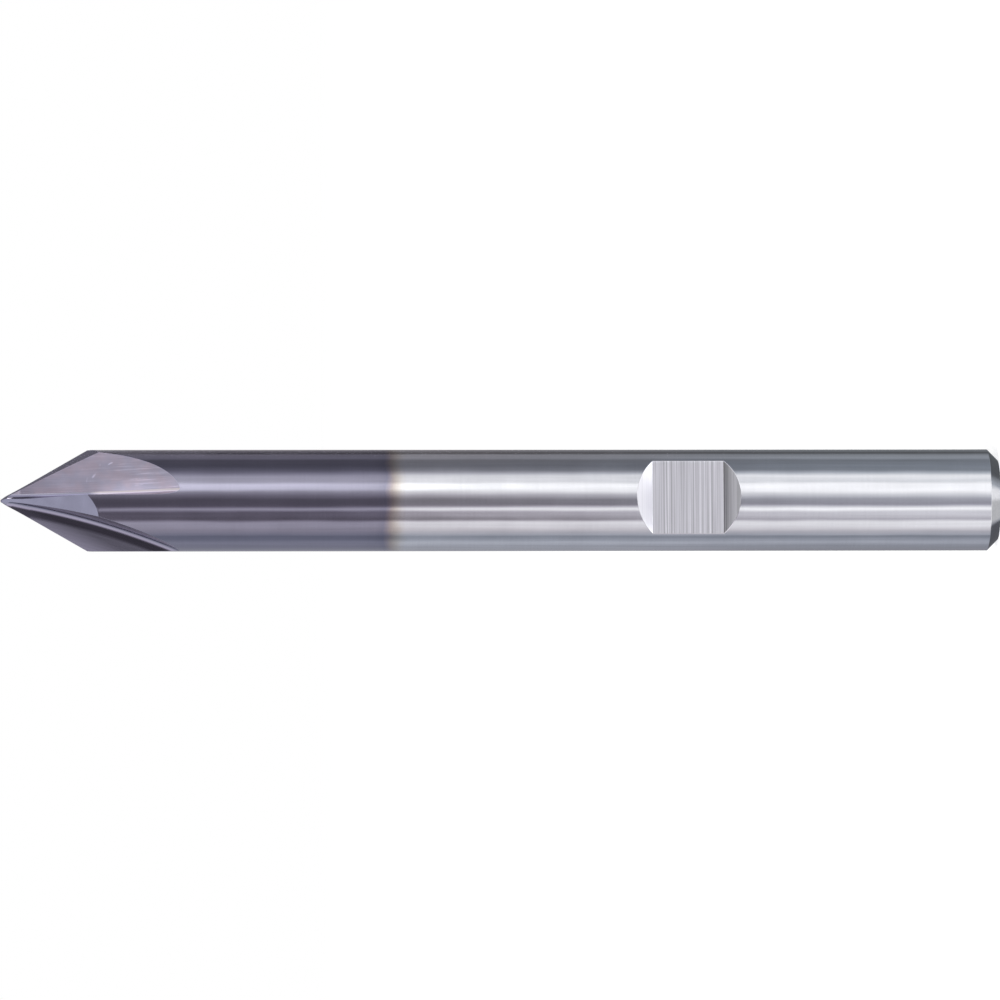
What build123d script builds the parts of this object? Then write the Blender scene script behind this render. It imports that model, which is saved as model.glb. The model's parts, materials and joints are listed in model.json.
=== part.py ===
from build123d import *
from math import cos, radians, sin, sqrt, tan
import os

# A 60 degree chamfer milling cutter with four straight flutes on a plain 6 mm shank
# that has one clamping flat for a side-lock holder.
# It is ground from one bar, so it is one solid.
#
# Frame: the origin is the centre of the plain end face of the shank, +Z runs up the
# tool's axis to the point, and the clamping flat faces -Y.
# An azimuth is an angle about +Z in degrees, measured from the clamping flat (-Y) towards +X.
# The tool cuts right-handed: seen from the point it turns counter-clockwise, towards
# growing azimuth, and so the rake faces look that way.

# Driving dimensions, in millimetres and degrees

# Bar
tool_diameter = 6.0
overall_length = 59.0
shank_end_chamfer = 0.62

# Clamping flat of the side-lock shank
flat_height = 5.1            # from the bottom of the flat across to the far side of the shank
flat_length = 4.2            # along the axis, on the flat itself
flat_centre_from_end = 18.49
flat_end_slope = 43.0        # of the two ends that run out to the surface of the shank

# Point
point_angle = 60.0           # between opposite cutting edges
tip_diameter = 0.1           # of the small blunt end of the point
tooth_count = 4
first_edge_azimuth = 2.5     # cutting edge that lies nearest to the clamping flat
relief_lag = 27.8            # from a cutting edge back to the square-on line of its relief face

# Flutes, each ground by a straight wheel whose side leaves the rake face and its rim the floor.
# The wheel's edge is worn to a quarter of an ellipse, which leaves the hollow between the two.
wheel_radius = 44.0
worn_along_side = 0.75       # how far the worn edge reaches in from the rim, along the side
worn_along_rim = 0.38        # how far it reaches across the rim
flute_length = 10.55         # from the tip to where the worn edge leaves the bar
web_at_tip = 0.01            # from the axis to the floor of the flute, at the tip


# Values that follow from them

bar_radius = tool_diameter / 2
edge_slope = tan(radians(point_angle / 2))
apex_height = overall_length + tip_diameter / 2 / edge_slope
quarter_turn = 90
tooth_pitch = 4 * quarter_turn / tooth_count
relief_slope = edge_slope * cos(radians(relief_lag))
flat_depth = tool_diameter - flat_height
cutter_reach = tool_diameter     # a cutting body reaches this far from the axis, well past the bar


def radial(azimuth):
    """Unit vector square to the axis, at an azimuth counted from the clamping flat."""
    return Vector(sin(radians(azimuth)), -cos(radians(azimuth)), 0)


def bar():
    """The round bar, cut off at the tip, with the chamfer at the end of the shank."""
    blank = Cylinder(bar_radius, overall_length, align=(Align.CENTER, Align.CENTER, Align.MIN))
    shank_end = blank.edges().filter_by(GeomType.CIRCLE).sort_by(Axis.Z)[0]
    return chamfer(shank_end, shank_end_chamfer)


def clamping_flat():
    """What the grinding of the flat takes away: a slot right across, with sloping ends."""
    bottom = bar_radius - flat_depth
    top = cutter_reach
    run_out = (top - bottom) / tan(radians(flat_end_slope))
    half_flat = flat_length / 2
    with BuildSketch(Plane.YZ) as side:
        with BuildLine():
            Polyline(
                (-bottom, flat_centre_from_end - half_flat),
                (-top, flat_centre_from_end - half_flat - run_out),
                (-top, flat_centre_from_end + half_flat + run_out),
                (-bottom, flat_centre_from_end + half_flat),
                close=True,
            )
        make_face()
    return extrude(side.sketch, amount=cutter_reach, both=True)


def relief_plane(edge_azimuth):
    """The plane of one relief face. It passes through the apex and slopes down behind the edge."""
    outwards = radial(edge_azimuth - relief_lag)
    normal = outwards + Vector(0, 0, relief_slope)
    return Plane(origin=(0, 0, apex_height), z_dir=normal)


def wheel_centre():
    """Height and radial place of the centre of the grinding wheel that cuts a flute.

    Its rim passes the web at the tip and leaves the bar at the flute's length, where the
    width of the worn edge is all that is left of the floor.
    """
    run_out_radius = sqrt(bar_radius ** 2 - worn_along_rim ** 2)
    rise = run_out_radius - web_at_tip
    chord = sqrt(flute_length ** 2 + rise ** 2)
    above_chord = sqrt(wheel_radius ** 2 - (chord / 2) ** 2)
    height_below_tip = flute_length / 2 - above_chord * rise / chord
    radius = (web_at_tip + run_out_radius) / 2 + above_chord * flute_length / chord
    return overall_length - height_below_tip, radius


def wheel():
    """The grinding wheel, lying on its side about the Z axis."""
    side_radius = wheel_radius - worn_along_side
    with BuildSketch(Plane.XZ) as section:
        with BuildLine():
            Polyline(
                (wheel_radius, worn_along_rim),
                (wheel_radius, cutter_reach),
                (0, cutter_reach),
                (0, 0),
                (side_radius, 0),
            )
            EllipticalCenterArc(
                (side_radius, worn_along_rim),
                worn_along_side,
                worn_along_rim,
                start_angle=-quarter_turn,
                arc_size=quarter_turn,
            )
        make_face()
    return revolve(section.sketch, Axis.Z)


def flute(edge_azimuth):
    """The space that the wheel sweeps."""
    height, radius = wheel_centre()
    rake = Plane(
        origin=radial(edge_azimuth) * radius + Vector(0, 0, height),
        x_dir=radial(edge_azimuth),
        z_dir=radial(edge_azimuth + quarter_turn),
    )
    return rake * wheel()


def chamfer_cutter():
    """The whole tool: the bar with its flat, then the relief faces, then the flutes."""
    tool = bar() - clamping_flat()
    edges = [first_edge_azimuth + tooth * tooth_pitch for tooth in range(tooth_count)]
    for edge_azimuth in edges:
        tool = split(tool, bisect_by=relief_plane(edge_azimuth), keep=Keep.BOTTOM)
    for edge_azimuth in edges:
        tool -= flute(edge_azimuth)
    return tool


os.makedirs("parts", exist_ok=True)
tool = chamfer_cutter()
export_step(tool, "parts/chamfer_cutter.step")
print("solids", len(tool.solids()), "faces", len(tool.faces()), "volume", round(tool.volume, 3))
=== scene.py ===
# %% [markdown]
# # A chamfer milling cutter, ground from one bar
#
# The real tool is a round bar of cutting-tool metal, 6 mm thick and 59 mm long. Its front is
# ground to a 60 degree point with four straight flutes, and its shank has one flat for the
# clamping screw of a side-lock holder. The front 23 mm carry a thin dark violet-grey coating,
# and the rest is bare ground metal.
#
# It is all one piece. Every face of it was made by a grinding wheel that follows a rule, and
# that makes it a good subject for Geometry Nodes.

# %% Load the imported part
import json
import math

import bmesh
import bpy
from mathutils import Matrix, Vector


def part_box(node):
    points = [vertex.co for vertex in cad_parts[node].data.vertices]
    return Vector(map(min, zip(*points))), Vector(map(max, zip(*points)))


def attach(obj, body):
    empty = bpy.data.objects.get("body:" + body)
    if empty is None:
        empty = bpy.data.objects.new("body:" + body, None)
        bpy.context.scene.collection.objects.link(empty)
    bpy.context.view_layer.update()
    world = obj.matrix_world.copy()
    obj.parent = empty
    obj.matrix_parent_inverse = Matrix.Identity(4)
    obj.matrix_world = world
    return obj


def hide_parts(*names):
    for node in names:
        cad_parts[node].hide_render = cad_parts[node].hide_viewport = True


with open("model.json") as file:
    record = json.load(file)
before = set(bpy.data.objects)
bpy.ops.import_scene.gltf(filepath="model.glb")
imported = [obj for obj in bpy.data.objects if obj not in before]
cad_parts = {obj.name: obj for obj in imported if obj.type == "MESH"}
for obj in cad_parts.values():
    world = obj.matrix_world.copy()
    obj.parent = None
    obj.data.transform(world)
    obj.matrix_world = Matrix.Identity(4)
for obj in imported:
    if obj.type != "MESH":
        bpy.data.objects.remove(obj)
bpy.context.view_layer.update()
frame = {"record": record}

NODE = "chamfer_cutter"
low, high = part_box(NODE)
print("packed part:", [round(1000 * size, 3) for size in high - low], "mm")

# %% [markdown]
# ## Sizes
#
# The radius and the length of the bar and the place of the clamping flat are read from the packed
# part. The sizes of the grinding cuts are named here, with the same values as in the part's own
# source. Blender works in metres, so each one is so many millimetres.

# %% Sizes of the tool
MM = 0.001
mounts = {mount["name"]: mount for mount in frame["record"]["mounts"]}
flat_place = mounts["clamping_flat"]["pos_m"]

bar_radius = (high.x - low.x) / 2
tool_length = high.z
shank_end_chamfer = 0.62 * MM

flat_distance = -flat_place[1]       # from the axis to the bottom of the flat
flat_centre = flat_place[2]          # above the end of the shank
flat_length = 4.2 * MM
flat_end_slope = math.tan(math.radians(43.0))

edge_slope = math.tan(math.radians(60 / 2))      # half the point angle
tip_radius = 0.05 * MM
relief_lag = math.radians(27.8)      # from a cutting edge back to the middle line of its relief face
first_edge_azimuth = math.radians(2.5)           # from the clamping flat round to the nearest edge
tooth_count = 4

wheel_radius = 44.0 * MM
worn_along_side = 0.75 * MM          # how far the worn edge reaches in from the rim, along the side
worn_along_rim = 0.38 * MM           # how far it reaches across the rim
flute_length = 10.55 * MM
web_at_tip = 0.01 * MM

apex = tip_radius / edge_slope       # how far the blunt tip stops short of a sharp point
relief_slope = edge_slope * math.cos(relief_lag)
print("flutes run", round(flute_length / MM, 2), "mm down from the tip")

# %% [markdown]
# ## Numbers that a node tree works out
#
# A formula made of Math nodes is hard to read when each node is placed by hand. `Term` stands for
# a number inside a node tree and adds, multiplies and so on by placing the Math node for it. So a
# formula is written once, like any other, for plain numbers and for nodes.


# %% Placing and feeding nodes
def feed(tree, socket, value):
    """Give an input socket its value: a term, another socket or a plain value."""
    if isinstance(value, Term):
        tree.links.new(value.socket, socket)
    elif isinstance(value, bpy.types.NodeSocket):
        tree.links.new(value, socket)
    else:
        socket.default_value = value


def place(tree, kind, inputs=None, **settings):
    """Add a node to a tree, with its settings, and feed its inputs by name or number."""
    node = tree.nodes.new(kind)
    for name, value in settings.items():
        setattr(node, name, value)
    for name, value in (inputs or {}).items():
        feed(tree, node.inputs[name], value)
    return node


# %% Terms: formulas that turn into nodes
def work_out(tree, operation, *values):
    """Place one Math node and return its result."""
    node = place(tree, "ShaderNodeMath", dict(enumerate(values)), operation=operation)
    return Term(tree, node.outputs[0])


def operator(operation, swapped=False):
    """A method that adds, multiplies and so on, with a term first or, if swapped, second."""

    def method(term, other):
        pair = (other, term) if swapped else (term, other)
        return work_out(term.tree, operation, *pair)

    return method


class Term:
    """A number that a node tree works out for every point of a surface."""

    def __init__(self, tree, socket):
        self.tree = tree
        self.socket = socket

    __add__ = __radd__ = operator("ADD")
    __mul__ = __rmul__ = operator("MULTIPLY")
    __sub__ = operator("SUBTRACT")
    __rsub__ = operator("SUBTRACT", swapped=True)
    __truediv__ = operator("DIVIDE")

    def __neg__(self):
        return self * -1.0


def parts_of(tree, vector):
    """The three numbers of a vector, as terms."""
    parts = place(tree, "ShaderNodeSeparateXYZ", {0: vector})
    return [Term(tree, output) for output in parts.outputs]


def coordinates(tree, kind):
    """Where a point of the surface is, as three terms: its Object coordinates or its UV map."""
    return parts_of(tree, tree.nodes.new("ShaderNodeTexCoord").outputs[kind])


# %% [markdown]
# These functions take both. With plain numbers they work at once, and with a term among them
# they place the node that does the same.


# %% Functions for numbers and terms
def spread(function, operation):
    """Make a function that takes plain numbers as well as terms."""

    def either(*values):
        trees = [value.tree for value in values if isinstance(value, Term)]
        return work_out(trees[0], operation, *values) if trees else function(*values)

    return either


root = spread(math.sqrt, "SQRT")
sine = spread(math.sin, "SINE")
cosine = spread(math.cos, "COSINE")
azimuth_of = spread(math.atan2, "ARCTAN2")       # takes y and then x
larger = spread(max, "MAXIMUM")
smaller = spread(min, "MINIMUM")
whole = spread(math.floor, "FLOOR")
power = spread(pow, "POWER")
exceeds = spread(lambda a, b: float(a > b), "GREATER_THAN")
plain_arc_cosine = spread(math.acos, "ARCCOSINE")


def square(value):
    return value * value


def kept_in(value, least, most):
    return larger(least, smaller(value, most))


def arc_cosine(value):
    return plain_arc_cosine(kept_in(value, -1.0, 1.0))


def arc_sine(value):
    return math.pi / 2 - arc_cosine(value)


def between(start, end, share):
    return start + (end - start) * share


def eased(value, start, end):
    """0 before the start, 1 past the end and straight between them."""
    return kept_in((value - start) / (end - start), 0.0, 1.0)


def swing(pattern, amount):
    """A noise, which keeps to about its middle of 0.5, turned into a change up or down."""
    return (pattern - 0.5) * amount


print("a quarter of the way from 2 to 6:", between(2, 6, 0.25))

# %% [markdown]
# ## The flute
#
# A grinding wheel stands across the tool for each flute. Its flat side leaves the rake face, a
# plane through the tool's axis. Its rim leaves the floor, which rises along an arc. The wheel's
# edge is worn to a quarter of an ellipse, and leaves a hollow between the two that is tight at the
# floor and runs out slowly into the rake face. The wheel's centre follows from three sizes: how
# close its rim comes to the axis at the tip, its radius, and how far down the bar the flute runs.


# %% The place of the grinding wheel
run_out_radius = math.sqrt(square(bar_radius) - square(worn_along_rim))
rise = run_out_radius - web_at_tip
chord = math.hypot(flute_length, rise)
above_chord = math.sqrt(square(wheel_radius) - square(chord / 2))
wheel_depth = flute_length / 2 - above_chord * rise / chord
wheel_reach = (web_at_tip + run_out_radius) / 2 + above_chord * flute_length / chord


def floor_distance(depth, radius, reach, centre_depth):
    """How far from the axis the floor of a flute lies, at a depth below the tip."""
    return reach - root(square(radius) - square(depth - centre_depth))


def floor_at(depth):
    return floor_distance(depth, wheel_radius, wheel_reach, wheel_depth)


print("floor of a flute 10 mm down:", round(floor_at(10 * MM) / MM, 3), "mm from the axis")

# %% [markdown]
# Faces begin and end at certain depths below the tip, such as where the flute first cuts the point
# or where the cutting edge reaches the full diameter. The grids need a row at each of them, or
# corners would be cut off. Each depth is where two surfaces cross, and it is found by halving.


# %% The marks along the flute
def crossing(gap, shallow, deep):
    """The depth between two others at which a rising gap passes through nought."""
    for _ in range(60):
        middle = (shallow + deep) / 2
        if gap(middle) < 0:
            shallow = middle
        else:
            deep = middle
    return shallow


def relief_at(depth):
    """How far from the axis a relief face passes, at a depth below the tip."""
    return (depth + apex) * relief_slope


def corner_overlap(depth):
    """Above nought where the ridge between two relief faces stands into the hollow."""
    distance = relief_at(depth) * math.sqrt(2)
    turn = math.pi / 4 - relief_lag
    along = (floor_at(depth) + worn_along_side - distance * math.cos(turn)) / worn_along_side
    return 1 - math.hypot(along, 1 - distance * math.sin(turn) / worn_along_rim)


def relief_past(depth, width):
    """How far the relief face passes a point of the floor, this width from the rake face."""
    lean = floor_at(depth) * math.sin(relief_lag) + width * math.cos(relief_lag)
    return relief_at(depth) - lean


def rake_width_at(depth):
    return (depth + apex) * edge_slope - floor_at(depth) - worn_along_side


def floor_end_at(depth):
    return math.sqrt(square(bar_radius) - square(floor_at(depth)))


flute_start = crossing(corner_overlap, 0.0, 0.6 * MM)
rake_start = crossing(rake_width_at, 0.0, 4 * MM)
floor_start = crossing(lambda depth: relief_past(depth, worn_along_rim), 0.0, 2 * MM)
edge_corner = bar_radius / edge_slope - apex
heel_corner = crossing(
    lambda depth: relief_past(depth, floor_end_at(depth)), edge_corner, flute_length - 2 * MM
)
rake_end = wheel_depth + math.sqrt(
    square(wheel_radius) - square(wheel_reach - bar_radius + worn_along_side)
)
marks = [flute_start, floor_start, rake_start, edge_corner, heel_corner, rake_end, flute_length]
print("depths of the marks:", [round(mark / MM, 3) for mark in marks], "mm")

# %% [markdown]
# ## The cutter as a node tree
#
# In a section square across the tool, each stretch of the outline belongs to one ground face:
# relief, land, rake, hollow corner or floor. The tree makes one grid for each, with its columns
# across the face and its rows down the tool. All grids share the same rows, so that neighbouring
# faces meet point to point. One tooth is repeated four times about the axis, and the points that
# meet are merged.
#
# Where a face hasn't begun or has ended, its columns lie on one point and the merge removes them.
# The columns next to each edge lie close to it, so that smooth shading turns the corner within
# a few hundredths of a millimetre. That gives a ground edge its thin glint.


# %% Helpers for the grids
def in_columns(column, count, edge_share=0.008):
    """A column's share of the way across a face, with the outer columns close to the edges."""
    inner = kept_in((column - 1) / (count - 2), 0.0, 1.0) * (1 - 2 * edge_share)
    first = smaller(column, 1.0) * edge_share
    last = larger(column - (count - 1), 0.0) * edge_share
    return inner + first + last


def down_rows(row, start, stations):
    """A value that goes from station to station, each (value, rows, ease), as the rows go down.

    An ease over 1 crowds the rows at the start of a station, and one under 0 at its end.
    """
    value, previous, first = start, start, 0
    for target, rows, ease in stations:
        share = kept_in((row - first) / rows, 0.0, 1.0)
        if ease > 1:
            share = power(share, ease)
        elif ease < 0:
            share = 1 - power(1 - share, -ease)
        value = value + (target - previous) * share
        previous, first = target, first + rows
    return value


print("first and last inner column of 12:", [round(in_columns(c, 12), 3) for c in (1, 11)])


# %% The tree and its ground faces
MERGE_DISTANCE = 0.001 * MM


class CutterTree:
    """The node tree while it is being built."""

    def __init__(self, name):
        self.tree = bpy.data.node_groups.new(name, "GeometryNodeTree")
        self.tree.interface.new_socket("Geometry", in_out="OUTPUT", socket_type="NodeSocketGeometry")
        self.inputs = self.tree.nodes.new("NodeGroupInput")
        self.values = {}
        place_of_point = self.tree.nodes.new("GeometryNodeInputPosition").outputs[0]
        self.across, self.along = parts_of(self.tree, place_of_point)[:2]

    def size(self, name, value):
        """Add a named input for a size and return it as a term."""
        socket = self.tree.interface.new_socket(name, in_out="INPUT", socket_type="NodeSocketFloat")
        self.values[socket.identifier] = value
        return Term(self.tree, self.inputs.outputs[name])

    def add(self, kind, inputs, **settings):
        """Add a node and return its first output."""
        return place(self.tree, kind, inputs, **settings).outputs[0]

    def number(self, position, count):
        """The number of a grid's column or row, from its place before it is moved."""
        return whole(position + count / 2 + 0.5)

    def vector(self, x, y, z):
        return self.add("ShaderNodeCombineXYZ", {0: x, 1: y, 2: z})

    def face(self, columns, rows, point, marks_along, material):
        """A ground face: a grid with its points moved, and the grinding marks as its UV map."""
        size = {"Size X": columns, "Size Y": rows, "Vertices X": columns + 1, "Vertices Y": rows + 1}
        grid = self.add("GeometryNodeMeshGrid", size)
        marks = {"Geometry": grid, "Name": "UVMap", "Value": self.vector(*marks_along, 0.0)}
        unrolled = self.add(
            "GeometryNodeStoreNamedAttribute", marks, data_type="FLOAT2", domain="CORNER"
        )
        there = {"Geometry": unrolled, "Position": self.vector(*point)}
        moved = self.add("GeometryNodeSetPosition", there)
        return self.add("GeometryNodeSetMaterial", {"Geometry": moved, "Material": material})

    def join(self, faces):
        joined = self.tree.nodes.new("GeometryNodeJoinGeometry")
        for face in faces:
            self.tree.links.new(face, joined.inputs[0])
        return joined.outputs[0]

    def finish(self, geometry):
        """Merge what meets, turn the faces outwards and shade them smooth.

        Each face already has its material, and the merge keeps it.
        """
        near = {"Geometry": geometry, "Distance": MERGE_DISTANCE}
        closed = self.add("GeometryNodeMergeByDistance", near)
        outwards = self.add("GeometryNodeFlipFaces", {"Mesh": closed})
        smooth = self.add("GeometryNodeSetShadeSmooth", {0: outwards})
        real = self.add("GeometryNodeRealizeInstances", {0: smooth})
        output = self.tree.nodes.new("NodeGroupOutput")
        self.tree.links.new(real, output.inputs[0])


# %% [markdown]
# ### One tooth
#
# The section lies in the tooth's own x and y: x runs out along the cutting edge, and y runs the
# way the tool turns. The rake face lies on the x axis. The relief face lies behind the edge, with
# its middle line turned back by the relief lag.
#
# Near the tip the flutes haven't begun, and what is left is a small four-sided pyramid. There the
# section is that of the flutes' start, shrunk towards the apex.


# %% Where the hollow meets the bar
def crossing_of_bar(bar, floor, side, rim):
    """The turn at which the round of the bar crosses the hollow, found in a few steps."""
    turn = 0.0
    for _ in range(6):
        across = rim * (1 - cosine(turn))
        out = root(square(bar) - square(across))
        turn = arc_sine(kept_in(1 - (out - floor) / side, 0.0, 1.0))
    return turn


deep_floor = floor_at(10 * MM)
deep_turn = crossing_of_bar(bar_radius, deep_floor, worn_along_side, worn_along_rim)
print("10 mm down, the bar cuts the hollow off at a turn of", round(math.degrees(deep_turn)), "degrees")


# %% The section of a tooth
def tooth_section(size, depth):
    """The terms that the faces of a tooth share, at the depth of the row."""
    side, rim = size["worn_side"], size["worn_rim"]
    lag_sine, lag_cosine = sine(size["lag"]), cosine(size["lag"])
    deep = larger(depth, size["flute_start"])
    relief = (deep + size["apex"]) * size["relief_slope"]
    floor = floor_distance(deep, size["wheel"], size["reach"], size["wheel_depth"])
    side_end = floor + side

    def in_corner(turn):
        return floor + side * (1 - sine(turn)), rim * (1 - cosine(turn))

    # Where the hollow begins and ends, as turns round its ellipse from the rake face
    edge_reach = root(square(side * lag_cosine) + square(rim * lag_sine))
    edge_share = (side_end * lag_cosine - rim * lag_sine - relief) / edge_reach
    turn_at_relief = azimuth_of(rim * lag_sine, side * lag_cosine) + arc_sine(edge_share)
    turn_at_bar = crossing_of_bar(size["bar"], floor, side, rim)
    at_end = exceeds(depth, size["flute_length"] - MERGE_DISTANCE)   # where all of it is one point
    edge_turn = larger(at_end * (math.pi / 2), larger(turn_at_relief, turn_at_bar))
    heel_reach = root(square(side * lag_sine) + square(rim * lag_cosine))
    heel_share = (side_end * lag_sine + rim * lag_cosine - relief) / heel_reach
    heel_turn = azimuth_of(side * lag_sine, rim * lag_cosine) + arc_cosine(heel_share)
    heel_turn = smaller(math.pi / 2, heel_turn)

    edge_out = smaller(size["bar"], (deep + size["apex"]) * size["edge_slope"])
    rake_width = larger(0.0, edge_out - side_end)
    hollow_x, hollow_y = in_corner(edge_turn)
    edge_x, edge_y = hollow_x + rake_width, hollow_y

    foot_x, foot_y = in_corner(heel_turn)
    on_relief = (relief - floor * lag_sine) / lag_cosine
    on_bar = root(larger(0.0, square(size["bar"]) - square(floor)))
    floor_width = larger(0.0, smaller(on_relief, on_bar) - rim)
    heel_x, heel_y = foot_y + floor_width, -foot_x       # turned back to the tooth in front of it

    edge_azimuth = azimuth_of(edge_y, edge_x)
    heel_azimuth = azimuth_of(heel_y, heel_x)
    past_relief = exceeds(relief, size["bar"]) * math.pi
    ridge_azimuth = arc_cosine(relief / size["bar"]) - size["lag"] - past_relief
    ridge_azimuth = kept_in(ridge_azimuth, heel_azimuth, edge_azimuth)
    has_land = exceeds(deep, size["edge_corner"])
    return dict(
        shrink=(depth + size["apex"]) / (deep + size["apex"]),
        deep=deep, floor=floor, in_corner=in_corner, edge_turn=edge_turn, heel_turn=heel_turn,
        rake_width=rake_width, hollow=(hollow_x, hollow_y), edge=(edge_x, edge_y),
        foot=(foot_x, foot_y), floor_width=floor_width, heel=(heel_x, heel_y),
        edge_azimuth=edge_azimuth, ridge_azimuth=ridge_azimuth, has_land=has_land,
    )


def on_land(section, size, azimuth):
    """A point on the round land, or the cutting edge where there is no land yet."""
    x, y = section["edge"]
    out_x = size["bar"] * cosine(azimuth)
    out_y = size["bar"] * sine(azimuth)
    return x + (out_x - x) * section["has_land"], y + (out_y - y) * section["has_land"]


# %% The named sizes of the tree
SIZE_INPUTS = dict(
    bar=("Bar Radius", bar_radius),
    length=("Tool Length", tool_length),
    edge_slope=("Edge Slope", edge_slope),
    relief_slope=("Relief Slope", relief_slope),
    lag=("Relief Lag", relief_lag),
    apex=("Apex above Tip", apex),
    wheel=("Wheel Radius", wheel_radius),
    worn_side=("Worn along Side", worn_along_side),
    worn_rim=("Worn along Rim", worn_along_rim),
    reach=("Wheel Centre from Axis", wheel_reach),
    wheel_depth=("Wheel Centre Depth", wheel_depth),
    flute_start=("Flute Start", flute_start),
    floor_start=("Floor Start", floor_start),
    rake_start=("Rake Start", rake_start),
    edge_corner=("Edge Corner", edge_corner),
    heel_corner=("Heel Corner", heel_corner),
    rake_end=("Rake End", rake_end),
    flute_length=("Flute Length", flute_length),
    first_edge=("First Edge Azimuth", first_edge_azimuth),
    flat_distance=("Flat Distance", flat_distance),
    flat_centre=("Flat Centre", flat_centre),
    flat_length=("Flat Length", flat_length),
    flat_slope=("Flat End Slope", flat_end_slope),
    chamfer=("Shank End Chamfer", shank_end_chamfer),
)
COLUMNS = dict(relief=12, land=60, rake=12, corner=20, floor=18, flat=24)
EDGE = 0.015 * MM        # from a sharp edge to the row beside it
print("named sizes:", len(SIZE_INPUTS), "- columns of a tooth:", sum(COLUMNS.values()) - COLUMNS["flat"])


# %% The faces of one tooth
def tooth_faces(cutter, size, materials):
    stations = [
        (0.0, 1, 1),
        (size["flute_start"], 3, 1),
        (size["floor_start"], 8, 1),
        (size["rake_start"], 2, 1),
        (size["edge_corner"], 36, 1.4),
        (size["heel_corner"], 12, 1),
        (size["rake_end"], 32, 1),
        (size["flute_length"], 22, -1.6),
    ]
    rows = sum(station[1] for station in stations)
    row = cutter.number(cutter.along, rows)
    depth = down_rows(row, 0.0, stations)
    section = tooth_section(size, depth)
    shrink = section["shrink"] * smaller(row, 1.0)
    height = size["length"] - depth
    sweep = azimuth_of(section["deep"] - size["wheel_depth"], size["reach"] - section["floor"])
    along_wheel = sweep * size["wheel"] / MM

    ridge_x, ridge_y = on_land(section, size, section["ridge_azimuth"])
    heel_x, heel_y = section["heel"]
    hollow_x, hollow_y = section["hollow"]
    foot_x, foot_y = section["foot"]

    # For a share of the way across a face: x, y and the place across the grinding marks
    def relief(share):
        x, y = between(heel_x, ridge_x, share), between(heel_y, ridge_y, share)
        return x, y, y

    def land(share):
        azimuth = between(section["ridge_azimuth"], section["edge_azimuth"], share)
        x, y = on_land(section, size, azimuth)
        return x, y, azimuth * size["bar"]

    def rake(share):
        x = hollow_x + section["rake_width"] * (1 - share)
        return x, hollow_y, x - section["floor"]

    def corner(share):
        turn = between(section["edge_turn"], section["heel_turn"], share)
        x, y = section["in_corner"](turn)
        return x, y, x - section["floor"]

    def floor(share):
        y = foot_y + section["floor_width"] * share
        return foot_x, y, -y

    faces = []
    for name, places, finish in [
        ("relief", relief, "relief"),
        ("land", land, "round"),
        ("rake", rake, "rake"),
        ("corner", corner, "rake"),
        ("floor", floor, "floor"),
    ]:
        columns = COLUMNS[name]
        x, y, across = places(in_columns(cutter.number(cutter.across, columns), columns))
        point = (x * shrink, y * shrink, height)
        marks_along = (along_wheel, across / MM)
        faces.append(cutter.face(columns, rows, point, marks_along, materials[finish]))
    return faces


# %% Four teeth about the axis
def repeat_about_axis(cutter, tooth, size):
    """Put the tooth at each cutting edge, as real geometry."""
    points = cutter.add("GeometryNodePoints", {"Count": tooth_count})
    number = Term(cutter.tree, cutter.add("GeometryNodeInputIndex", {}))
    turn = number * (2 * math.pi / tooth_count) + size["first_edge"] - math.pi / 2
    about_axis = {"Axis": (0.0, 0.0, 1.0), "Angle": turn}
    rotation = cutter.add("FunctionNodeAxisAngleToRotation", about_axis)
    each = {"Points": points, "Instance": tooth, "Rotation": rotation}
    copies = cutter.add("GeometryNodeInstanceOnPoints", each)
    return cutter.add("GeometryNodeRealizeInstances", {0: copies})


# %% [markdown]
# ### The shank
#
# The round shank is one grid wrapped round the bar. It starts below the flutes with the columns
# of the four teeth and evens them out. At the clamping flat the columns part, and a second grid
# fills the gap with the flat and its sloping ends. At the foot the columns run over the chamfer
# and in across the end face to the centre.


# %% The profile of the shank
def shank_profile(size):
    """Stations down the shank: a height, the radius there, the rows down to it and their ease."""
    bar, half_flat = size["bar"], size["flat_length"] / 2
    flat_top, flat_foot = size["flat_centre"] + half_flat, size["flat_centre"] - half_flat
    run_out = (bar - size["flat_distance"]) / size["flat_slope"]
    end_radius = bar - size["chamfer"]
    evened = size["length"] - size["flute_length"] - 2 * MM
    return [
        (evened, bar, 8, 1),
        (flat_top + run_out + EDGE, bar, 24, 1),
        (flat_top + run_out, bar, 1, 1),
        (flat_top + EDGE, bar, 16, 2),
        (flat_top, bar, 1, 1),
        (flat_top - EDGE, bar, 1, 1),
        (flat_foot + EDGE, bar, 8, 1),
        (flat_foot, bar, 1, 1),
        (flat_foot - EDGE, bar, 1, 1),
        (flat_foot - run_out, bar, 16, -2),
        (flat_foot - run_out - EDGE, bar, 1, 1),
        (size["chamfer"] + EDGE, bar, 14, 1),
        (size["chamfer"], bar, 1, 1),
        (size["chamfer"] - EDGE, bar - EDGE, 1, 1),
        (0.0 + EDGE, end_radius + EDGE, 4, 1),
        (0.0, end_radius, 1, 1),
        (0.0, end_radius - EDGE, 1, 1),
        (0.0, 0.0, 8, 1),
    ]


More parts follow.
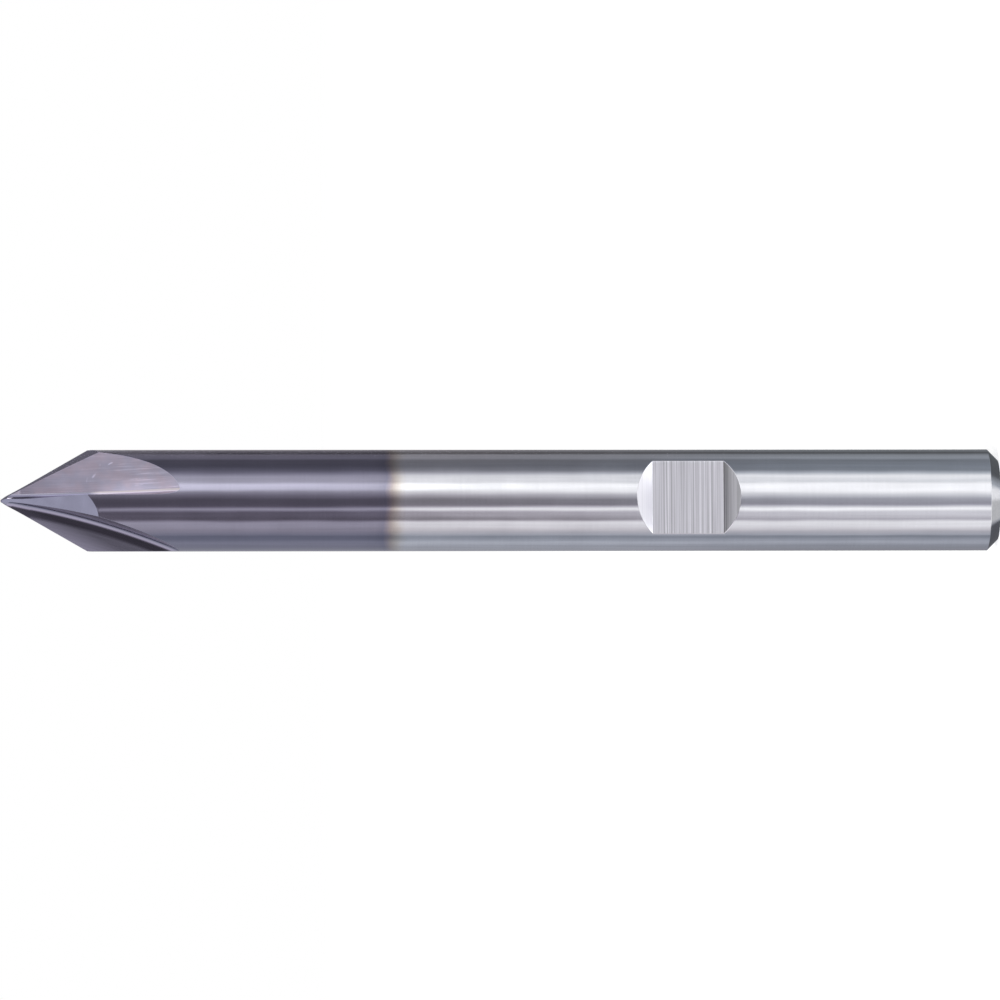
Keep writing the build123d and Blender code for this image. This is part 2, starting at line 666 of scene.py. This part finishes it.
# %% The faces of the shank
def shank_faces(cutter, size, materials):
    bar, half_flat = size["bar"], size["flat_length"] / 2
    flute_foot = size["length"] - size["flute_length"]
    profile = shank_profile(size)
    rows = sum(station[2] for station in profile)
    row = cutter.number(cutter.along, rows)
    height = down_rows(row, flute_foot, [(z, count, ease) for z, _, count, ease in profile])
    radius = down_rows(row, bar, [(r, count, ease) for _, r, count, ease in profile])
    away = work_out(cutter.tree, "ABSOLUTE", height - size["flat_centre"]) - half_flat
    flat_out = smaller(bar, size["flat_distance"] + larger(0.0, away) * size["flat_slope"])
    parting = arc_cosine(flat_out / bar)

    # Round the bar, from one side of the clamping flat to the other
    around = COLUMNS["land"] * tooth_count
    pitch = 2 * math.pi / around
    corner_azimuth = math.asin(worn_along_rim / bar_radius)
    heel_azimuth = first_edge_azimuth + corner_azimuth - 2 * math.pi / tooth_count
    shift = round(-heel_azimuth / pitch)
    column = cutter.number(cutter.across, around)
    shifted = column + shift
    tooth = whole(shifted / COLUMNS["land"] + 0.001)
    in_tooth = shifted - tooth * COLUMNS["land"]
    share = in_columns(in_tooth, COLUMNS["land"])
    from_teeth = (tooth + share) * (2 * math.pi / tooth_count) + heel_azimuth
    evenness = kept_in((row - 1) / 6, 0.0, 1.0)
    azimuth = between(from_teeth, column * pitch, evenness)
    azimuth = parting + azimuth * (1 - parting / math.pi)
    point = (radius * sine(azimuth), -(radius * cosine(azimuth)), height)
    round_bar = cutter.face(
        around, rows, point, (azimuth * bar / MM, height / MM), materials["round"]
    )

    # Across the clamping flat
    columns = COLUMNS["flat"]
    column = cutter.number(cutter.across, columns)
    side = in_columns(column, columns) * 2 - 1
    half_width = bar * sine(parting)
    at_flat = (side * half_width, -smaller(radius, flat_out), height)
    flat = cutter.face(
        columns, rows, at_flat, (side * half_width / MM, height / MM), materials["flat"]
    )
    return [round_bar, flat]


# %% The whole tree
def build_cutter_tree(materials):
    cutter = CutterTree("ground cutter")
    size = {key: cutter.size(name, value) for key, (name, value) in SIZE_INPUTS.items()}
    tooth = cutter.join(tooth_faces(cutter, size, materials))
    teeth = repeat_about_axis(cutter, tooth, size)
    cutter.finish(cutter.join([teeth, *shank_faces(cutter, size, materials)]))
    return cutter


# %% [markdown]
# ## Numbers in a material
#
# The same terms write a material's formulas, because a shader tree has the same Math node. All
# patterns read Object coordinates, whose third number is the height above the end of the shank,
# or the UV map that the node tree left, in millimetres along and across the grinding marks.


# %% Where a point of the surface is
def new_material(name):
    """A material with a plain metal Principled BSDF; returns it, its tree and that shader."""
    print("finish:", name)
    material = bpy.data.materials.new(name)
    material.use_nodes = True
    tree = material.node_tree
    shader = tree.nodes["Principled BSDF"]
    shader.inputs["Metallic"].default_value = 1.0
    return material, tree, shader


def object_place(tree):
    """Three terms: x, y and the height, in millimetres."""
    return [part / MM for part in coordinates(tree, "Object")]


# %% Patterns, colours and grooves
def noise(tree, x, y, z, detail=2.0, roughness=0.5):
    """Smooth noise, from about 0.3 to 0.7, that changes over one unit of each number."""
    point = place(tree, "ShaderNodeCombineXYZ", {0: x, 1: y, 2: z}).outputs[0]
    texture = place(
        tree,
        "ShaderNodeTexNoise",
        {"Vector": point, "Scale": 1.0, "Detail": detail, "Roughness": roughness},
    )
    return Term(tree, texture.outputs[0])


def ramp(tree, value, stops):
    """A colour that follows a number through stops of (place, colour)."""
    node = place(tree, "ShaderNodeValToRGB", {0: value})
    elements = node.color_ramp.elements
    while len(elements) < len(stops):
        elements.new(0.5)
    for element, (position, colour) in zip(elements, stops):
        element.position = position
        element.color = (*colour, 1.0)
    return node.outputs[0]


def dress(tree, shader, colour, tone, roughness):
    """Give the shader its colour, made lighter or darker by the tone, and its roughness."""
    toned = place(tree, "ShaderNodeVectorMath", {0: colour, "Scale": tone}, operation="SCALE")
    feed(tree, shader.inputs["Base Color"], toned.outputs[0])
    feed(tree, shader.inputs["Roughness"], roughness)


def grooves(tree, shader, height, depth):
    """Grinding marks as a bump, depth millimetres deep."""
    bump = place(tree, "ShaderNodeBump", {"Height": height, "Distance": depth * MM})
    feed(tree, shader.inputs["Normal"], bump.outputs[0])


# %% [markdown]
# ## Coated and bare metal
#
# The coating is a few thousandths of a millimetre thick. It was laid on in a vacuum chamber with
# the shank masked by the holder, so it ends in a soft, slightly wavy line, and there it is so thin
# that it shows the straw and rose tints of a fading film. One colour ramp over the height gives
# all of this.

# %% The end of the coating
COATED = (0.262, 0.255, 0.325)
BARE = (0.640, 0.645, 0.680)
coating_end = 35.75      # millimetres above the end of the shank
film_fade = 1.6          # millimetres over which the coating thins out

# From the thinnest film to the whole one, as shares of the way across the fade
FILM = [
    (0.30, BARE),
    (0.38, (0.625, 0.615, 0.625)),
    (0.45, (0.57, 0.54, 0.52)),
    (0.52, (0.48, 0.44, 0.415)),
    (0.58, (0.39, 0.345, 0.34)),
    (0.63, (0.31, 0.28, 0.32)),
    (0.70, (0.235, 0.23, 0.30)),
    (0.86, COATED),
]


def coating_over_height(tree, height, wave):
    """The colour by height: bare below, the fading film, then the full coating."""
    share = (height + wave - (coating_end - film_fade)) / (2 * film_fade)
    return ramp(tree, share, FILM)


print("the coating ends", round(tool_length / MM - coating_end, 2), "mm behind the tip")

# %% [markdown]
# The bar was ground round, which leaves fine rings, and a faint grain runs along it. A noise that
# changes quickly with the height and slowly round the bar draws the rings, and one that does the
# opposite draws the grain.


# %% The round surfaces
def make_round_material():
    material, tree, shader = new_material("round ground metal")
    x, y, height = object_place(tree)
    radius = root(square(x) + square(y))
    rings = noise(tree, x * 0.5, y * 0.5, (height - radius) * 14, detail=3.0)
    drawn = noise(tree, x * 5, y * 5, height * 0.12, detail=3.0)
    clouds = noise(tree, x * 0.6, y * 0.6, height * 0.5)
    waves = noise(tree, x * 0.9, y * 0.9, height * 0.22, detail=1.0)
    wander = swing(noise(tree, x * 0.8, y * 0.8, height * 0.4), 0.7)
    colour = coating_over_height(tree, height, wander)
    tone = 0.98 + swing(rings, 0.08) + swing(clouds, 0.14) + swing(drawn, 0.2)
    dress(tree, shader, colour, tone, 0.11 + swing(clouds, 0.06))
    grooves(tree, shader, rings * 0.02 + waves, 0.012)
    return material


materials = dict(round=make_round_material())

# %% [markdown]
# The relief faces are ground by the flat side of a fine wheel. They look even, with faint marks
# square to the axis and a little cloudiness from the coating.

# %% The relief faces
RELIEF_COATED = (0.328, 0.325, 0.447)


def make_relief_material():
    material, tree, shader = new_material("coated relief face")
    x, y, height = object_place(tree)
    radius = root(square(x) + square(y))
    marks = noise(tree, x * 0.7, y * 0.7, (height + radius * 0.5) * 9, detail=3.0)
    clouds = noise(tree, x * 0.9, y * 0.9, height * 0.9, detail=1.0)
    tone = 0.93 + swing(marks, 0.08) + swing(clouds, 0.35)
    dress(tree, shader, RELIEF_COATED, tone, 0.2)
    grooves(tree, shader, marks, 0.0006)
    return material


materials["relief"] = make_relief_material()

# %% [markdown]
# ## The flutes
#
# The wheel leaves its marks along the flute. Its rim, which cuts the floor, wears rough and leaves
# long streaks. One of the floors also carries painted glints: painted highlights, each a short
# stroke with its own row in a table, broken up by a fine noise.

# %% Painted glints on one floor
# Where each is along and across the floor, half its length, half its width, all in millimetres,
# then its lean in degrees and how light it is
PAINTED_GLINTS = [
    (13.22, -2.02, 0.20, 0.06, 24, 0.75),
    (12.55, -1.88, 0.20, 0.07, 70, 0.30),
    (12.20, -1.33, 0.26, 0.08, 50, 0.55),
    (11.78, -1.10, 0.18, 0.05, 80, 0.35),
    (12.05, -1.05, 0.13, 0.05, 20, 0.30),
    (14.90, -1.04, 0.70, 0.035, 0, 0.40),
    (15.00, -0.68, 0.55, 0.035, 3, 0.35),
]


def stroke(along, across, middle, length, width, lean):
    """1 in the middle of a short soft stroke, 0 beside it. It leans up towards the shank."""
    ahead, up = along - middle[0], middle[1] - across
    turn = math.radians(lean)
    lengthwise = ahead * math.cos(turn) + up * math.sin(turn)
    sideways = up * math.cos(turn) - ahead * math.sin(turn)
    return larger(0.0, 1 - square(lengthwise / length) - square(sideways / width))


# All the painted glints added up: the painted highlights on the floor
def all_painted_glints(along, across):
    total = 0.0
    for at_along, at_across, length, width, lean, lightness in PAINTED_GLINTS:
        one = stroke(along, across, (at_along, at_across), length, width, lean)
        total = total + one * lightness
    return total


print("in the middle of the first painted_glint:", round(all_painted_glints(*PAINTED_GLINTS[0][:2]), 2))

# %% [markdown]
# The floor is rosier in some places than in others. A painted highlight makes it lighter where it
# runs out on the bar beside the rake face. The streaks come from a noise that changes nine times a
# millimetre across the flute and only once in three millimetres along it.

# %% The floors of the flutes
FLOOR_VIOLET = (0.357, 0.34, 0.437)
FLOOR_ROSY = (0.395, 0.347, 0.43)


def make_floor_material():
    material, tree, shader = new_material("coated flute floor")
    along, across = coordinates(tree, "UV")[:2]
    streaks = noise(tree, along * 0.35, across * 9, 3.0, detail=4.0, roughness=0.6)
    clouds = noise(tree, along * 0.9, across * 1.4, 11.0)
    rosy = noise(tree, along * 1.0, across * 1.3, 23.0)
    colour = ramp(tree, rosy, [(0.38, FLOOR_VIOLET), (0.62, FLOOR_ROSY)])
    # Painted highlight: lighter where the floor runs out on the bar beside the rake face
    run_out = eased(along, 12.3, 14.0) * eased(across, -1.2, -0.45)
    run_out = run_out * between(0.6, 1, eased(along, 16.5, 15))
    # The streaks are the rim's own marks, made lighter; where the floor runs out they carry a stronger
    # painted highlight
    streaks_and_painted_sheen = larger(0.0, streaks - 0.54) * (0.5 + eased(along, 12.3, 13.5) * 2.5)

    # Painted glints: painted highlights on the floor with x above nought and y below it
    x, y, height = object_place(tree)
    specks = noise(tree, along * 5, across * 5, 7.0, detail=1.0)
    painted_glints = all_painted_glints(along, across) * eased(specks, 0.38, 0.56) * exceeds(x, 0.0) * exceeds(-y, 0.0)

    tone = between(0.78, 0.97, eased(along, 7.8, 10.2)) * (1 + run_out * 0.6)
    tone = tone + swing(streaks, 0.3) + swing(clouds, 0.3) + painted_glints + streaks_and_painted_sheen
    dress(tree, shader, colour, tone, 0.3)
    grooves(tree, shader, streaks, 0.004)
    return material


materials["floor"] = make_floor_material()

# %% [markdown]
# The flat side of the wheel leaves the rake face much smoother. The hollow beside it, which the
# worn edge leaves, shares its finish. Painted shade darkens the rake face next to the hollow, and it
# is lighter at the cutting edge. On the +X side the hollow carries painted light: a pale pinkish
# painted highlight where the flute runs out, a lighter painted highlight before it, and painted
# shade next to the point.

# %% The rake faces and the hollows
# The pale pinkish colour of the painted highlight where the flute runs out
PALE_PINK_HIGHLIGHT = (0.64, 0.58, 0.62)


def make_rake_material():
    material, tree, shader = new_material("coated rake face")
    along, across = coordinates(tree, "UV")[:2]
    streaks = noise(tree, along * 0.3, across * 14, 3.0, detail=3.0, roughness=0.6)
    on_rake = eased(across, 0.05, 0.35)
    # Painted shade: the rake face is darker next to the hollow and lighter out at the cutting edge
    painted_rake_shading = kept_in(1.59 + across * 0.75 - along * 0.14, 0.55, 1.4)      # lighter at the edge
    tone = between(0.98, painted_rake_shading, on_rake) + swing(streaks, 0.25)

    x, y, height = object_place(tree)
    this_side = eased(x, 0.0, 0.05)
    # On the +X side only: a painted highlight where the flute runs out, and before it painted shade next
    # to the point and a lighter painted highlight
    painted_end_highlight = this_side * eased(along, 11.9, 12.6)
    before_end_highlight = this_side - painted_end_highlight
    painted_shade_by_point = before_end_highlight * eased(along, 9.2, 8.2)
    # Painted shade in the hollow next to the point
    tone = tone - 0.5 * painted_shade_by_point * eased(across, 0.03, 0.1) * eased(across, 0.34, 0.28)
    # Painted highlight on the hollow and rake face between the point and the run-out
    tone = tone + 0.4 * (before_end_highlight - painted_shade_by_point) * eased(across, 0.0, 0.1)
    # The colour turns pale pinkish in the painted highlight at the run-out
    dress(tree, shader, ramp(tree, painted_end_highlight, [(0.0, COATED), (1.0, PALE_PINK_HIGHLIGHT)]), tone, 0.15)
    grooves(tree, shader, streaks, 0.0008)
    return material


materials["rake"] = make_rake_material()

# %% [markdown]
# ## The clamping flat
#
# The flat was ground across the bar with a coarser wheel, so its marks are straight and stand
# square to the axis, and it is duller and more even than the round shank. Its two sloping ends
# were dressed more finely. Painted shade darkens the corner where the lower one meets the flat,
# and painted light makes the upper one lighter next to the flat and darker towards the bar.

# %% The clamping flat
FLAT_BARE = (0.66, 0.657, 0.70)


def make_flat_material():
    material, tree, shader = new_material("ground clamping flat")
    x, y, height = object_place(tree)
    lines = noise(tree, x * 0.03, y * 0.03, height * 7, detail=4.0, roughness=0.7)
    from_middle = height - flat_centre / MM
    half_flat = flat_length / 2 / MM
    upper_end = exceeds(from_middle, half_flat)
    lower_end = exceeds(-from_middle, half_flat)
    on_slope = upper_end + lower_end
    # Painted shade in the corner where the lower sloping end meets the flat
    corner = lower_end * eased(from_middle, -half_flat - 0.5, -half_flat - 0.05)
    towards_bar = eased(from_middle, half_flat + 0.05, half_flat + 0.85)
    tone = 1.06 + swing(lines, 2.8 - upper_end * 2.4 - lower_end * 0.6) - corner * 0.55
    # Painted light on the upper sloping end: lighter next to the flat, darker towards the bar
    tone = tone + upper_end * between(0.17, -0.12, towards_bar)
    dress(tree, shader, FLAT_BARE, tone, between(0.4, 0.28, on_slope))
    grooves(tree, shader, lines * between(1.0, 0.2, on_slope), 0.015)
    return material


materials["flat"] = make_flat_material()

# %% [markdown]
# ## From the node tree to a plain mesh
#
# The modifier's inputs are set by their identifiers. The result is kept as a plain mesh, and the
# object that carried the tree is removed.

# %% Make the cutter
built = build_cutter_tree(materials)
carrier = bpy.data.objects.new("carrier", bpy.data.meshes.new("carrier"))
bpy.context.scene.collection.objects.link(carrier)
modifier = carrier.modifiers.new("ground cutter", "NODES")
modifier.node_group = built.tree
for identifier, value in built.values.items():
    modifier[identifier] = value
worked_out = carrier.evaluated_get(bpy.context.evaluated_depsgraph_get())
mesh = bpy.data.meshes.new_from_object(worked_out)
bpy.data.objects.remove(carrier)
mesh.name = "cutter"
cutter = bpy.data.objects.new("cutter", mesh)
bpy.context.scene.collection.objects.link(cutter)
print("cutter:", len(mesh.polygons), "faces")

# %% Its volume, and whether it is closed
solid = bmesh.new()
solid.from_mesh(cutter.data)
open_edges = [edge for edge in solid.edges if edge.is_boundary]
print("volume:", round(solid.calc_volume() / MM**3, 2), "cubic mm, open edges:", len(open_edges))

# Just below the flutes the flat's grid has no width, and some of its edges stay without faces
bare_edges = [edge for edge in solid.edges if edge.is_wire]
print("edges without faces, which draw nothing:", len(bare_edges))
solid.free()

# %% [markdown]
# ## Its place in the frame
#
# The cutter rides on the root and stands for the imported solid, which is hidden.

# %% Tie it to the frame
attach(cutter, "root")
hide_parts(NODE)
print(cutter.name, "stands for", NODE)

# %% [markdown]
# ## The studio
#
# Polished metal shows its surroundings more than its own colour. The tool stands on a white floor
# in a light tent of white cloth, with darker strips hung in it that draw the long bands on the
# shank. Only reflections see the tent, so the background stays plain from every side.

# %% The strips of the tent
# Where each strip is, in degrees round the tool from the camera, and how bright it is level with
# the tip, with the middle of the tool and with its foot
TENT_STRIPS = [
    (-180, 0.42, 0.36, 0.27),
    (-128, 0.57, 0.46, 0.37),
    (-111, 0.69, 0.61, 0.55),
    (-100, 0.50, 0.42, 0.43),
    (-90, 0.43, 0.34, 0.31),
    (-85, 0.59, 0.52, 0.56),
    (-77, 0.73, 0.60, 0.60),
    (-62, 0.93, 0.93, 1.11),
    (-51, 0.97, 1.05, 1.22),
    (-44, 0.22, 0.30, 0.63),
    (-39, 0.25, 0.38, 0.80),
    (-34, 0.30, 0.52, 0.90),
    (-26, 0.27, 0.56, 0.94),
    (-20, 1.08, 1.34, 1.58),
    (-14, 0.26, 0.56, 0.95),
    (-10, 0.23, 0.25, 0.44),
    (2, 0.23, 0.25, 0.53),
    (12, 0.46, 0.60, 0.98),
    (20, 0.84, 1.14, 1.50),
    (26, 2.05, 1.39, 1.48),
    (37, 2.45, 1.40, 1.45),
    (43, 1.40, 1.00, 1.02),
    (57, 1.08, 1.06, 1.31),
    (65, 0.59, 0.58, 0.69),
    (72, 0.36, 0.26, 0.32),
    (84, 0.21, 0.19, 0.32),
    (104, 0.21, 0.19, 0.25),
    (112, 0.41, 0.30, 0.42),
    (126, 0.36, 0.30, 0.32),
    (136, 0.14, 0.10, 0.11),
    (150, 0.27, 0.20, 0.21),
    (180, 0.42, 0.36, 0.27),
]
# The tint that the darker strips take on: where, and the red, green and blue of it
TENT_TINTS = [
    (-180, 1.00, 1.00, 1.10),
    (-90, 0.93, 1.00, 1.15),
    (-70, 1.08, 1.00, 1.07),
    (-10, 1.10, 1.00, 1.14),
    (30, 1.04, 1.00, 1.05),
    (84, 1.00, 1.00, 1.14),
    (140, 1.05, 1.00, 1.06),
    (180, 1.04, 1.00, 1.07),
]
BRIGHTEST = 2.5          # the ramps hold shares of this
STRONGEST_TINT = 1.2     # and of this


def round_the_tent(tree, azimuth, stops, scale):
    """The numbers of a table, each as a term that follows the azimuth."""
    colours = [((at + 180) / 360, [value / scale for value in values]) for at, *values in stops]
    colour = ramp(tree, (azimuth + 180) / 360, colours)
    parts = place(tree, "ShaderNodeSeparateColor", {0: colour})
    return [Term(tree, output) * scale for output in parts.outputs]


def light_of_strips(tree, azimuth, rise):
    at_tip, at_middle, at_foot = round_the_tent(tree, azimuth, TENT_STRIPS, BRIGHTEST)
    level = between(at_foot, at_middle, eased(rise, -3.9, -2.6))
    return between(level, at_tip, eased(rise, -0.4, -0.1))


print("strips:", len(TENT_STRIPS), "from", min(min(row[1:]) for row in TENT_STRIPS), "up")

# %% [markdown]
# The flutes look up past the strips, and the chamfer and the sloping ends of the flat look down or
# straight up. Each needs something of its own to mirror, where the round bar doesn't see it.


# %% Above and below the strips
def above_strips(level, azimuth, rise):
    """A soft lamp to one side, a small one far behind it, a dark cloth, and the roof."""
    lamp = eased(azimuth, 22, 50) * eased(azimuth, 122, 110)
    level = between(level, 1.15, lamp * eased(rise, 7, 10))
    behind = eased(azimuth, 122, 130) * eased(azimuth, 168, 160)
    level = between(level, 5.0, behind * eased(rise, 3.3, 4.2) * eased(rise, 11, 9))
    cloth_or_lamp = between(0.19, 1.55, eased(azimuth, -32, -46) * eased(azimuth, -115, -55))
    other_side = eased(azimuth, 8, 2) * eased(azimuth, -120, -105)
    level = between(level, cloth_or_lamp, other_side * eased(rise, 3, 6))
    level = between(level, CLOTH, eased(rise, 26, 34))
    return between(level, 0.5, eased(rise, 60, 74))


def below_strips(level, azimuth, rise):
    """The white floor, with a dark cloth at either side of the back."""
    aside = larger(azimuth, -azimuth)
    below = between(0.7, 0.45, eased(aside, 50, 80))
    below = between(below, 0.13, eased(aside, 112, 128) * eased(aside, 177, 168))
    below = between(below, 0.5, eased(rise, -58, -68))
    return between(level, below, eased(rise, -8, -16))


CLOTH = 0.9              # the plain cloth above the strips
print("a lamp level with the tip, half in:", round(above_strips(0.5, 65, 8.5), 2))

# %% [markdown]
# The tent is a sphere that glows. Its light is worked out from the direction of each point: the
# azimuth round the tool and the rise above the floor. One large soft lamp lies under the front of
# the tool, and is brightest just in front of the foot.

# %% The light tent
CAMERA_AZIMUTH = -4.8
TENT_RADIUS = 1.2
DEGREES = 180 / math.pi
FOOT_LAMP = Vector((-0.22, -0.28, -0.93)).normalized()


def light_of_foot_lamp(x, y):
    """How bright the lamp below is, by the direction to the side and to the front."""
    lamp = between(0.7, 1.15, eased(x, -0.03, 0.05))
    return between(lamp, 3.0, eased(-y, 0.0, 0.12) * eased(-y, 0.42, 0.3))


def tent_glow(tree):
    """The tent's emission by direction: its strength, and the tint of the darker strips."""
    x, y, z = coordinates(tree, "Object")
    far = root(square(x) + square(y) + square(z))
    azimuth = azimuth_of(x, -y) * DEGREES - CAMERA_AZIMUTH
    azimuth = azimuth - 360 * whole((azimuth + 180) / 360)
    rise = arc_sine(z / far) * DEGREES
    strips = light_of_strips(tree, azimuth, rise)
    level = below_strips(above_strips(strips, azimuth, rise), azimuth, rise)
    facing = x * FOOT_LAMP.x + y * FOOT_LAMP.y + z * FOOT_LAMP.z
    off_lamp = eased(facing / far, 0.83, 0.77)
    strength = between(light_of_foot_lamp(x / far, y / far), level, off_lamp)

    # Only the darker strips are tinted, and less red towards the foot in front
    shade = eased(strips, 1.3, 0.4) * eased(rise, 35, 25) * off_lamp
    red, green, blue = round_the_tent(tree, azimuth, TENT_TINTS, STRONGEST_TINT)
    red = red - 0.10 * eased(rise, -0.8, -4.0) * eased(azimuth, -90, 0)
    hue = [between(1, part, shade) for part in (red, green, blue)]
    colour = place(tree, "ShaderNodeCombineColor", dict(enumerate(hue))).outputs[0]
    return place(tree, "ShaderNodeEmission", {"Color": colour, "Strength": strength})


def stage_piece(name, look, make_look):
    """Name the shape that was just added and give it a material of its own."""
    material = bpy.data.materials.new(look)
    material.use_nodes = True
    tree = material.node_tree
    tree.nodes.clear()
    place(tree, "ShaderNodeOutputMaterial", {"Surface": make_look(tree).outputs[0]})
    piece = bpy.context.object
    piece.name = name
    piece.data.materials.append(material)
    return piece


bpy.ops.mesh.primitive_uv_sphere_add(segments=64, ring_count=32, radius=TENT_RADIUS)
tent = stage_piece("tent", "tent", tent_glow)
tent.visible_camera = False
tent.visible_diffuse = False
tent.visible_shadow = False
tent.visible_transmission = False
tent.visible_volume_scatter = False
print("tent:", len(tent.data.polygons), "faces")

# %% The floor
def white_where_seen(tree):
    """1 for the rays that look at the background, directly or in a reflection, and 0 for light."""
    path = tree.nodes.new("ShaderNodeLightPath")
    camera = Term(tree, path.outputs["Is Camera Ray"])
    glossy = Term(tree, path.outputs["Is Glossy Ray"])
    through = Term(tree, path.outputs["Is Transmission Ray"])
    return larger(camera, larger(glossy, through))


def floor_look(tree):
    matt = place(tree, "ShaderNodeBsdfDiffuse", {"Color": (0.8, 0.8, 0.8, 1.0)})
    glow = place(tree, "ShaderNodeEmission", {"Strength": white_where_seen(tree) * 0.62})
    return place(tree, "ShaderNodeAddShader", {0: matt.outputs[0], 1: glow.outputs[0]})


bpy.ops.mesh.primitive_plane_add(size=3.0)
floor = stage_piece("floor", "white floor", floor_look)
floor.visible_glossy = False
print("stage:", tent.name, "and", floor.name)

# %% The world and the lamp
world = bpy.data.worlds.new("studio")
world.use_nodes = True
bpy.context.scene.world = world
surround = world.node_tree.nodes["Background"]
surround.inputs["Color"].default_value = (1.0, 1.0, 1.0, 1.0)
seen = white_where_seen(world.node_tree)
feed(world.node_tree, surround.inputs["Strength"], 0.45 + seen * 0.55)

key_place = Vector((-0.25, -0.5, 0.75))
lit_point = Vector((0.0, 0.0, 0.03))
light = bpy.data.lights.new("soft key", "AREA")
light.shape = "SQUARE"
light.size = 0.5
light.energy = 4.0
key = bpy.data.objects.new("soft key", light)
key.location = key_place
key.rotation_euler = (lit_point - key_place).to_track_quat("-Z", "Y").to_euler()
key.visible_glossy = False      # the tent's bright strips stand for it in reflections
bpy.context.scene.collection.objects.link(key)
print("lamp:", key.name, light.energy, "watts")

# %% [markdown]
# ## The camera
#
# The photograph shows the tool lying across the picture, tip to the left, almost square to its
# axis. Here the tool stands, so the camera is turned on its side. It is far off, with a long lens.

# %% The camera
CAMERA_RISE = 2.7
CAMERA_ROLL = -0.057
camera_distance = 0.5204
focal_length = 316.8
picture_shift = 0.024 * MM
middle = Vector((0.0, 0.0, tool_length / 2))


def unit(azimuth, rise=0.0):
    """A unit vector at an azimuth round the tool and a rise above the floor, in degrees."""
    turn, up = math.radians(azimuth), math.radians(rise)
    return Vector((math.sin(turn) * math.cos(up), -math.cos(turn) * math.cos(up), math.sin(up)))


back = unit(CAMERA_AZIMUTH, CAMERA_RISE)
picture_up = unit(CAMERA_AZIMUTH + 90)
turn = Matrix((picture_up.cross(back), picture_up, back)).transposed()
roll = Matrix.Rotation(math.radians(CAMERA_ROLL), 4, "Z")
place_of_camera = middle + back * camera_distance + picture_up * picture_shift

lens = bpy.data.cameras.new("camera")
lens.sensor_width = 36.0
lens.lens = focal_length
lens.clip_start = 0.05
lens.clip_end = 10.0
camera = bpy.data.objects.new("camera", lens)
camera.matrix_world = Matrix.Translation(place_of_camera) @ turn.to_4x4() @ roll
bpy.context.scene.collection.objects.link(camera)
bpy.context.scene.camera = camera
bpy.context.scene.view_settings.view_transform = "Standard"
print("camera:", round(camera_distance * 1000), "mm from the middle of the tool")
